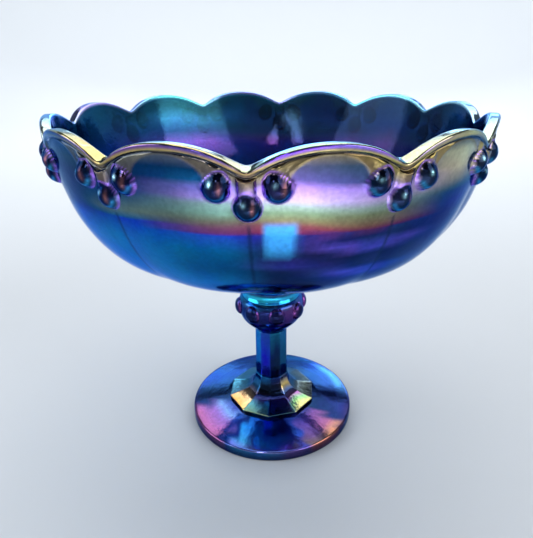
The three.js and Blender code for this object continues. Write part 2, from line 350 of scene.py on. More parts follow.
# the lustre round the plinth, with painted glints and shade on its facets: gold and pale green glints in
# front and to the sides, darker facets between and behind
plinth_film_and_painted_light = {
    -90: [EDGE_FILM, (13, 0.10, 0.30, 0.45, 0.6), (17, 0.03, 0.12, 0.25, 0.5), (28.5, 0.03, 0.15, 0.4, 0.5)],
    -54: [EDGE_FILM, (12.5, 0.95, 0.55, 0.15, 0.9), (15, 0.98, 0.70, 0.40, 0.9), (17, 0.30, 0.25, 0.35, 0.6),
          (19, 0.03, 0.12, 0.3, 0.5), (28.5, 0.02, 0.30, 0.8, 0.5)],
    -18: [EDGE_FILM, (12.5, 0.90, 0.90, 0.35, 0.9), (14.5, 0.35, 0.95, 0.75, 0.9),
          (16, 0.20, 0.15, 0.45, 0.6), (19, 0.01, 0.02, 0.05, 0.5),
          (23, 0.01, 0.02, 0.05, 0.5), (28.5, 0.02, 0.25, 0.7, 0.5)],
    18: [EDGE_FILM, (12.5, 0.10, 0.25, 0.25, 0.7), (15, 0.20, 0.12, 0.40, 0.6), (18, 0.02, 0.05, 0.16, 0.5),
         (23, 0.01, 0.01, 0.03, 0.5), (28.5, 0.02, 0.06, 0.3, 0.5)],
    54: [EDGE_FILM, (12.5, 0.95, 0.75, 0.30, 0.9), (14, 0.35, 0.75, 0.30, 0.8),
         (15.5, 0.50, 0.20, 0.60, 0.7), (18, 0.20, 0.45, 0.95, 0.8),
         (21, 0.95, 0.65, 0.20, 0.8), (28.5, 0.02, 0.15, 0.4, 0.5)],
    90: [EDGE_FILM, (14, 0.20, 0.22, 0.16, 0.6), (18, 0.06, 0.10, 0.14, 0.5), (28.5, 0.03, 0.12, 0.3, 0.5)],
    180: [EDGE_FILM, (14, 0.16, 0.22, 0.20, 0.6), (20, 0.05, 0.12, 0.2, 0.5), (28.5, 0.04, 0.10, 0.3, 0.4)],
}
plinth_glass = lustre_glass("lustre_plinth", 4.1)
plinth = closed_skin("plinth_glass", faceted_points(plinth_profile, facet_angles), plinth_glass)
plinth_way = drifted(plinth_profile[:, 1:], facet_angles, 0.5, 2.0)
facet_middle = (np.floor(facet_angles * SIDES / (2 * np.pi) + 1e-6) + 0.5) * 2 * np.pi / SIDES
flat_bearing = facet_middle + 0.35 * (facet_angles - facet_middle)
spray_film_and_painted_light(plinth, film_and_painted_light_colours(plinth_film_and_painted_light, plinth_way, flat_bearing))
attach(plinth, "root")
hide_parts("plinth")

# --- Stem ---------------------------------------------------------------------------------------
# A straight ten-sided pillar of solid glass, so deep in colour that it is nearly black where the light
# doesn't come through.
stem_base, stem_top = stem_low[2], stem_high[2]
stem_profile = np.vstack([
    line((AXIS, stem_base), (stem_radius, stem_base), 3),
    line((stem_radius, stem_base), (stem_radius, stem_top), 24),
    line((stem_radius, stem_top), (AXIS, stem_top), 3),
])
# colours round the stem, with painted highlights and shade on its facets: bright blue on the front left,
# nearly black just right of the front
stem_film_and_painted_light = {
    -54: [(28, 0.02, 0.30, 0.75, 0.6), (62, 0.04, 0.35, 0.80, 0.6)],
    -18: [(28, 0.02, 0.10, 0.50, 0.6), (45, 0.02, 0.12, 0.90, 0.6), (62, 0.03, 0.12, 0.60, 0.6)],
    18: [(28, 0.01, 0.03, 0.08, 0.5), (45, 0.01, 0.04, 0.14, 0.5), (62, 0.02, 0.30, 0.45, 0.5)],
    54: [(28, 0.02, 0.15, 0.35, 0.5), (45, 0.02, 0.14, 0.30, 0.5), (62, 0.03, 0.20, 0.5, 0.6)],
    90: [(28, 0.02, 0.06, 0.15, 0.5), (62, 0.02, 0.10, 0.25, 0.5)],
    180: [(28, 0.03, 0.10, 0.30, 0.5), (62, 0.03, 0.12, 0.35, 0.5)],
}
stem_glass = lustre_glass("lustre_stem", 2.6)
stem = closed_skin("stem_glass", faceted_points(stem_profile, facet_angles), stem_glass)
spray_film_and_painted_light(stem, film_and_painted_light_colours(stem_film_and_painted_light, drifted(stem_profile[:, 1:], facet_angles, 4, 3.0), flat_bearing))
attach(stem, "root")
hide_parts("stem")

# --- Beaded knop --------------------------------------------------------------------------------
# The swelling under the bowl, with eight oval beads standing out of it. The beads are part of the
# mould, so they are worked into the same skin.
BEADS = 8
BEAD_TURN = np.radians(14.0)
BEAD_HALF_WIDTH = 5.2
BEAD_HALF_HEIGHT = 5.6
BEAD_HEIGHT_OUT = 2.7
knop_low, knop_high = (np.array(c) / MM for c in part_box("beaded_knop"))
knop_base, knop_top = knop_low[2], knop_high[2]
girth = knop_base + 16.8
neck_low, neck_high = (np.array(c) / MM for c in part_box("neck"))
neck_base, neck_top = neck_low[2], neck_high[2]
knop_top_radius = 18.8

knop_side = smooth_curve(np.array([
    (stem_radius + 0.2, knop_base),
    (12.0, knop_base + 1.2),
    (15.0, knop_base + 4.0),
    (18.8, knop_base + 8.2),
    (20.7, knop_base + 13.0),
    (21.2, knop_base + 17.8),
    (20.6, knop_base + 21.8),
    (knop_top_radius, knop_top),
]), 96)


def bead_relief(r, z, angles):
    """How far the beads stand out: each is half an ellipsoid, so the height is the root of one minus the
    squared distance from its middle, measured in half widths and half heights."""
    pitch = 2 * np.pi / BEADS
    off = (angles - BEAD_TURN + pitch / 2) % pitch - pitch / 2
    across = off[None, :] * r[:, None] / BEAD_HALF_WIDTH
    up = (z[:, None] - girth) / BEAD_HALF_HEIGHT
    return BEAD_HEIGHT_OUT * np.clip(1 - across**2 - up**2, 0, 1) ** 0.45


knop_angles = np.linspace(0, 2 * np.pi, 416, endpoint=False)
knop_profile = np.vstack([
    line((AXIS, knop_base), (stem_radius, knop_base), 3),
    knop_side,
    line((knop_top_radius, knop_top), (AXIS, knop_top), 3),
])
relief = bead_relief(knop_profile[:, 0], knop_profile[:, 1], knop_angles)
knop_film = {
    -50: [(62, 0.02, 0.06, 0.25, 0.5), (68, 0.02, 0.10, 0.35, 0.5), (74, 0.02, 0.02, 0.14, 0.7),
          (82, 0.03, 0.03, 0.16, 0.7), (86, 0.04, 0.22, 0.5, 0.7)],
    0: [(62, 0.02, 0.06, 0.30, 0.5), (68, 0.02, 0.10, 0.45, 0.5), (74, 0.02, 0.02, 0.16, 0.7),
        (82, 0.02, 0.03, 0.16, 0.7), (86, 0.04, 0.28, 0.7, 0.7)],
    50: [(62, 0.02, 0.06, 0.25, 0.5), (68, 0.04, 0.05, 0.25, 0.5), (74, 0.09, 0.03, 0.20, 0.7),
         (82, 0.16, 0.05, 0.24, 0.7), (86, 0.08, 0.18, 0.5, 0.7)],
    180: [(62, 0.02, 0.06, 0.30, 0.5), (78, 0.07, 0.05, 0.32, 0.5), (86, 0.06, 0.20, 0.5, 0.5)],
}
knop_glass = lustre_glass("lustre_knop", 7.3)
knop_reach = 1 + relief / np.maximum(knop_profile[:, :1], 1)
knop = closed_skin("beaded_knop_glass", turned_points(knop_profile, knop_angles, knop_reach), knop_glass)
knop_colours = film_and_painted_light_colours(knop_film, drifted(knop_profile[:, 1:], knop_angles, 1, 4.0), knop_angles)
# painted shade darkens the middle of each bead, and a painted highlight runs round its edge
painted_bead_shade = ease(relief, 1.2, 2.6)[..., None]
painted_bead_highlight = np.exp(-(((relief - 0.7) / 0.6) ** 2))[..., None] * (relief > 0.02)[..., None]
knop_colours = knop_colours + 0.85 * painted_bead_shade * (np.array([0.01, 0.01, 0.06, 0.5]) - knop_colours)
knop_colours = knop_colours + 0.6 * painted_bead_highlight * (np.array([0.45, 0.10, 0.40, 0.7]) - knop_colours)
spray_film_and_painted_light(knop, knop_colours)
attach(knop, "root")
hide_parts("beaded_knop")

# --- Neck ---------------------------------------------------------------------------------------
# The waisted wafer of glass between knop and bowl, solid and round, and fused to both. Its colour is
# bright on the shoulder, a painted reflection, and dark in the waist.
neck_radius = neck_high[0]
neck_side = smooth_curve(np.array([
    (knop_top_radius, neck_base),
    (17.6, neck_base + 2.4),
    (17.6, neck_top - 4),
    (neck_radius, neck_top),
]), 20)
neck_profile = np.vstack([
    line((AXIS, neck_base), (knop_top_radius - 0.2, neck_base), 4),
    neck_side,
    line((neck_radius, neck_top), (AXIS, neck_top), 4),
])
neck_film_and_painted_light = {
    0: [(86, 0.04, 0.55, 0.98, 0.8), (89.5, 0.04, 0.60, 1.00, 0.8), (91, 0.03, 0.12, 0.40, 0.5),
        (93, 0.20, 0.35, 0.80, 0.7), (96, 0.20, 0.35, 0.80, 0.7)],
    180: [(86, 0.08, 0.35, 0.70, 0.5), (92, 0.03, 0.06, 0.20, 0.4), (96, 0.10, 0.20, 0.50, 0.5)],
}
neck_glass = lustre_glass("lustre_neck", 5.5)
neck = closed_skin("neck_glass", turned_points(neck_profile, round_angles), neck_glass)
neck_way = drifted(neck_profile[:, 1:], round_angles, 0.4, 5.0)
spray_film_and_painted_light(neck, film_and_painted_light_colours(neck_film_and_painted_light, neck_way, round_angles))
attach(neck, "root")
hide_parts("neck")

# --- Bowl ---------------------------------------------------------------------------------------
# The wide shell of twelve lobes, pressed between an iron mould and a smooth plunger. Its rim is a flat
# land in scallops. Three teardrops in each valley and a sunken, arched panel in each lobe are part of
# the same wall.
LOBES = 12
RIM_REACH = 127.0  # over a crown
SCALLOP_POWER = 2.1  # 2 is a parabola between valleys
RIM_LAND = 5.2
WALL = 4.8
FLOOR = 9.0
RISE = 8.7  # of a scallop
SWELL = 1.8  # of a lobe, at the rim
BODY_SWELL = 1.5  # of a lobe, lower down
SCALLOP_DEPTH = 38.0  # how far down the scallops still show
VALLEY_SLUMP = 1.6  # how far the outer edge of the land droops in a valley
PANEL_HALF_WIDTH = 16.6
PANEL_TOP = 4.6  # below the crown of the rim
PANEL_ARCH = 13.0  # height of the arched stretch
PANEL_DEPTH = 2.0
DROP_SPACING = 12.2
DROP_HALF_WIDTH = 6.0
DROP_HALF_HEIGHT = 6.7
DROP_OUT = 4.6
LONG_NECK = (3.7, 2.4)  # half width, and how far it stands out
SHORT_NECK = (2.6, 1.0)
VALLEY_ROUND = 0.035  # of a lobe: how soon the rim turns up out of a valley
LONG_DROP, SHORT_DROP = 23.2, 20.3  # from the rim to the lowest point of a bulb
FINE_STEPS = 72  # round one lobe, where there is relief
COARSE = 3  # fine steps to one step elsewhere

bowl_low, bowl_high = (np.array(c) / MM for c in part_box("bowl"))
bowl_base = bowl_low[2]
valley_top = bowl_high[2] - RISE
rim_radius = RIM_REACH - SWELL
WALL_SHAPE = [(0, 0), (0.22, 0.105), (0.53, 0.26), (0.68, 0.345), (0.79, 0.452),
              (0.882, 0.6), (0.945, 0.77), (0.985, 0.91), (1, 1)]
wall_curve = smooth_curve(np.array([
    (neck_radius + out * (rim_radius - neck_radius), bowl_base + up * (valley_top - bowl_base))
    for out, up in WALL_SHAPE
]), 2000)


def wall_rows(heights):
    """Points of the outer wall in a valley at these heights."""
    return np.column_stack([np.interp(heights, wall_curve[:, 1], wall_curve[:, 0]), heights])


def inner_rows(shares):
    """Points of the inner wall at these shares of the outer wall's length: the outer point moved in by
    the thickness, square to the wall."""
    at = shares * (len(wall_curve) - 1)
    steps = np.arange(len(wall_curve))
    skin = np.column_stack([np.interp(at, steps, wall_curve[:, k]) for k in (0, 1)])
    way = np.gradient(wall_curve, axis=0)
    way = np.column_stack([np.interp(at, steps, way[:, k]) for k in (0, 1)])
    way /= np.hypot(*way.T)[:, None]
    thick = WALL + (RIM_LAND - WALL) * ease(shares, 0.9, 1) + (FLOOR - WALL) * (1 - ease(shares, 0.05, 0.45))
    return skin + np.column_stack([-way[:, 1], way[:, 0]]) * thick[:, None]


def lobe_place(steps):
    """Columns round the bowl: the angle, and the place across the lobe from 0 in a valley to 1 in the
    next. They crowd towards the valleys, by a share of the sine of the place."""
    even = np.arange(LOBES * steps) / steps
    place = even - 0.45 * np.sin(2 * np.pi * even) / (2 * np.pi)
    return place * 2 * np.pi / LOBES, place % 1


def crown_share(place):
    """0 in a valley and 1 at a crown. The distance from the valley is first rounded at its foot: the root
    of the sum of its square and a small square, less the small length."""
    from_valley = np.abs((place + 0.5) % 1 - 0.5)
    rounded = np.hypot(from_valley, VALLEY_ROUND) - VALLEY_ROUND
    rounded = rounded * 0.5 / (np.hypot(0.5, VALLEY_ROUND) - VALLEY_ROUND)
    return 1 - (1 - 2 * rounded) ** SCALLOP_POWER


def lobed(rows, place):
    """Works lobes and scallops into rows of the valley's section. The share of a crown is one less a
    power of the distance from the lobe's middle. It swells the radius and lifts the rim."""
    r, z = rows[:, :1], rows[:, 1:]
    share = crown_share(place)
    high = ease(z, valley_top - SCALLOP_DEPTH, valley_top)
    lift = ease(z, valley_top - SCALLOP_DEPTH, valley_top - 5) ** 1.6
    low = ease(r, neck_radius, 0.7 * rim_radius)
    return r + (BODY_SWELL * low * (1 - high) + SWELL * high) * share, z + RISE * lift * share


def drop_fields(z, place):
    """For each of a valley's three drops: how far across and up from its middle a point is, how far out
    from the middle it is as a share of the bulb's ellipse, and how well it lies on the neck above."""
    pitch = 2 * np.pi / LOBES * rim_radius
    from_valley = (place + 0.5) % 1 - 0.5
    fields = []
    for side in (-1, 0, 1):
        across = from_valley * pitch - side * DROP_SPACING
        at = abs(side) * DROP_SPACING / pitch
        rim_here = valley_top + RISE * (1 - abs(2 * at - 1) ** SCALLOP_POWER)
        up = z - (rim_here - (SHORT_DROP if side else LONG_DROP) + DROP_HALF_HEIGHT)
        neck_half, neck_out = SHORT_NECK if side else LONG_NECK
        # the top of a short drop leans a little towards the valley
        leaning = across + 0.28 * side * np.maximum(up, 0)
        narrowing = DROP_HALF_WIDTH * (1 - 0.16 * ease(up, 0, DROP_HALF_HEIGHT))
        share = np.hypot(leaning / narrowing, up / DROP_HALF_HEIGHT)
        neck = np.clip(1 - (across / neck_half) ** 2, 0, 1) ** 0.45 * (up > 0)
        fields.append((across, up, share, neck, neck_out))
    return fields


def inside_panel(z, place):
    """How far inside the arched panel's outline a point is. The outline is an upright half ellipse."""
    across = (place - 0.5) * 2 * np.pi / LOBES * rim_radius
    spring = valley_top + RISE - PANEL_TOP - PANEL_ARCH
    oval = (across / PANEL_HALF_WIDTH) ** 2 + (np.maximum(z - spring, 0) / PANEL_ARCH) ** 2
    return (1 - np.sqrt(oval)) * PANEL_HALF_WIDTH, z - spring


def relief_out(z, place):
    """How far the mould's relief stands out of the outer wall: drops above it, panels below it."""
    depth = valley_top + RISE * crown_share(place) - z
    inside, above_spring = inside_panel(z, place)
    out = -PANEL_DEPTH * ease(inside, -0.2, 1.7) * ease(above_spring, -22, -5)
    out = out + 0.3 * np.exp(-(((inside + 1.1) / 0.8) ** 2)) * ease(above_spring, -6, 3)
    for across, up, share, neck, neck_out in drop_fields(z, place):
        bulb = DROP_OUT * np.clip(1 - share**2, 0, 1) ** 0.8
        out = np.maximum(out, np.maximum(bulb, neck_out * neck) * ease(depth, 3.4, 5.0))
    lip = 0.45 * (1 - ease(depth, 2.6, 3.3)) - 0.4 * np.exp(-(((depth - 3.7) / 0.45) ** 2))
    return out + lip * (depth < 6)


def drop_marks(z, place):
    """Where the colour on the drops differs, from 0 to 1: a painted highlight round their edges, painted
    shade on their bodies, a painted reflection in their low crescents, a painted highlight spot left of the
    middle, a painted amber reflection right of it, and their necks."""
    marks = np.zeros((6,) + np.broadcast_shapes(z.shape, place.shape))
    for across, up, share, neck, neck_out in drop_fields(z, place):
        marks = np.maximum(marks, np.stack([
            np.exp(-(((share - 1.0) / 0.055) ** 2)),
            1 - ease(share, 0.86, 0.96),
            np.exp(-(((share - 0.76) / 0.09) ** 2)) * ease(-up, 1.0, 3),
            np.exp(-(((across + 1.2) / 0.75) ** 2) - ((up - 1.7) / 0.9) ** 2),
            np.exp(-(((across - 2.2) / 0.7) ** 2) - (up / 2.4) ** 2),
            neck * ease(share, 1.02, 1.12) * (neck_out > 2),
        ]))
    return marks


def bowl_points(rows, outward, place, angles):
    """Places rows of the section round the bowl. outward is the direction square to the wall in each
    row, along which the relief moves a point, and is zero where the skin is smooth."""
    r, z = lobed(rows, place)
    out = relief_out(z, place[None, :]) * (np.abs(outward).sum(axis=1, keepdims=True) > 0)
    r = r + out * outward[:, :1]
    z = z + out * outward[:, 1:]
    past_inner = ease(rows[:, :1], rim_radius - RIM_LAND, rim_radius) * (rows[:, 1:] > valley_top - 8)
    valley = np.exp(-((((place + 0.5) % 1 - 0.5) / 0.12) ** 2))
    z = z - VALLEY_SLUMP * past_inner * valley * ease(z, valley_top - 8, valley_top - 2)
    return np.stack([r * np.sin(angles), -r * np.cos(angles), z], axis=-1)


def square_to_wall(rows):
    """The outward direction in each row, from the neighbouring rows."""
    way = np.gradient(rows, axis=0)
    way /= np.hypot(*way.T)[:, None]
    return np.column_stack([way[:, 1], -way[:, 0]])


FINE_FROM = bowl_base + 72.0
ROUND_OUT, ROUND_IN = 1.3, 1.1
below = wall_curve[wall_curve[:, 1] < FINE_FROM]
low_rows = np.vstack([
    line((0.5, bowl_base), (neck_radius - 0.3, bowl_base), 3),
    below[np.linspace(0, len(below) - 1, 36).astype(int)],
])
rim_bottom = valley_top - ROUND_OUT
fine_heights = np.concatenate([
    np.linspace(FINE_FROM + 0.6, valley_top - 6, 45),
    np.linspace(valley_top - 5.6, rim_bottom, 15),
])
outer_rows = wall_rows(fine_heights)
out_corner = arc(rim_radius - ROUND_OUT, rim_bottom, ROUND_OUT, 12, 90, 6)
in_corner = arc(rim_radius - RIM_LAND + ROUND_IN, valley_top - ROUND_IN, ROUND_IN, 90, 180, 6)
land = line(out_corner[-1], in_corner[0], 5)[:-1]
out_corner[:, 0] += 0.45
inside = inner_rows(np.linspace(0.965, 0.02, 42))
down_in = line(in_corner[-1], inside[0], 5)[:-1]
fine_rows = np.vstack([outer_rows, out_corner, land, in_corner, down_in])
fine_out = np.zeros_like(fine_rows)
fine_out[:len(outer_rows)] = square_to_wall(outer_rows)
floor_rows = np.vstack([inside, line(inside[-1], (0.5, inside[-1][1] - 0.1), 6)])

fine_angles, fine_place = lobe_place(FINE_STEPS)
coarse_angles, coarse_place = fine_angles[::COARSE], fine_place[::COARSE]
blocks = [
    bowl_points(low_rows, np.zeros_like(low_rows), coarse_place, coarse_angles),
    bowl_points(fine_rows, fine_out, fine_place, fine_angles),
    bowl_points(floor_rows, np.zeros_like(floor_rows), coarse_place, coarse_angles),
]


def bowl_mesh(name, blocks, material):
    """A closed piece from three blocks of rings. The middle one has COARSE times as many columns, so each
    face of the ring between two blocks has one coarse side and COARSE fine ones."""
    starts = np.cumsum([0] + [len(b) * b.shape[1] for b in blocks]).tolist()
    faces = []
    for block, start in zip(blocks, starts):
        faces += quads_between(*block.shape[:2], start).tolist()
    columns, fine = blocks[0].shape[1], blocks[1].shape[1]
    ring = np.arange(columns)
    following = (ring + 1) % columns
    fine_side = [(COARSE * ring + k) % fine for k in range(COARSE, -1, -1)]
    last_low = starts[1] - columns
    under = [last_low + ring, last_low + following] + [starts[1] + point for point in fine_side]
    last_fine = starts[2] - fine
    over = [last_fine + point for point in fine_side[::-1]] + [starts[2] + following, starts[2] + ring]
    faces += np.column_stack(under).tolist() + np.column_stack(over).tolist()
    faces += end_fans(columns, 0, starts[3] - columns, starts[3], starts[3] + 1)
    ends = [blocks[0][0].mean(axis=0), blocks[2][-1].mean(axis=0)]
    points = np.vstack([b.reshape(-1, 3) for b in blocks] + [ends])
    return smooth_piece(name, points, faces, material)


# The way along the section: the height up the outside to 207, 210 to 216 over the land, and 220 plus
# the depth down the inside.
# the underside: dark at the bottom with a painted gold glint, then pale violet-blue lustre
BASE_BANDS = [(96, 0.02, 0.03, 0.10, 0.4), (99, 0.45, 0.30, 0.12, 0.6), (101, 0.10, 0.10, 0.20, 0.5),
              (104, 0.50, 0.75, 1.00, 0.95), (119, 0.50, 0.72, 1.00, 0.95)]
AZURE_BANDS = BASE_BANDS + [(125, 0.0, 0.36, 0.85, 0.6), (138, 0.0, 0.40, 0.98, 0.6)]
NAVY_BANDS = BASE_BANDS + [(125, 0.03, 0.05, 0.16, 0.5), (132, 0.03, 0.06, 0.22, 0.5)]
DARK_INSIDE = [(220, 0.03, 0.08, 0.15, 0.35), (240, 0.01, 0.03, 0.08, 0.3), (315, 0.01, 0.03, 0.12, 0.3)]
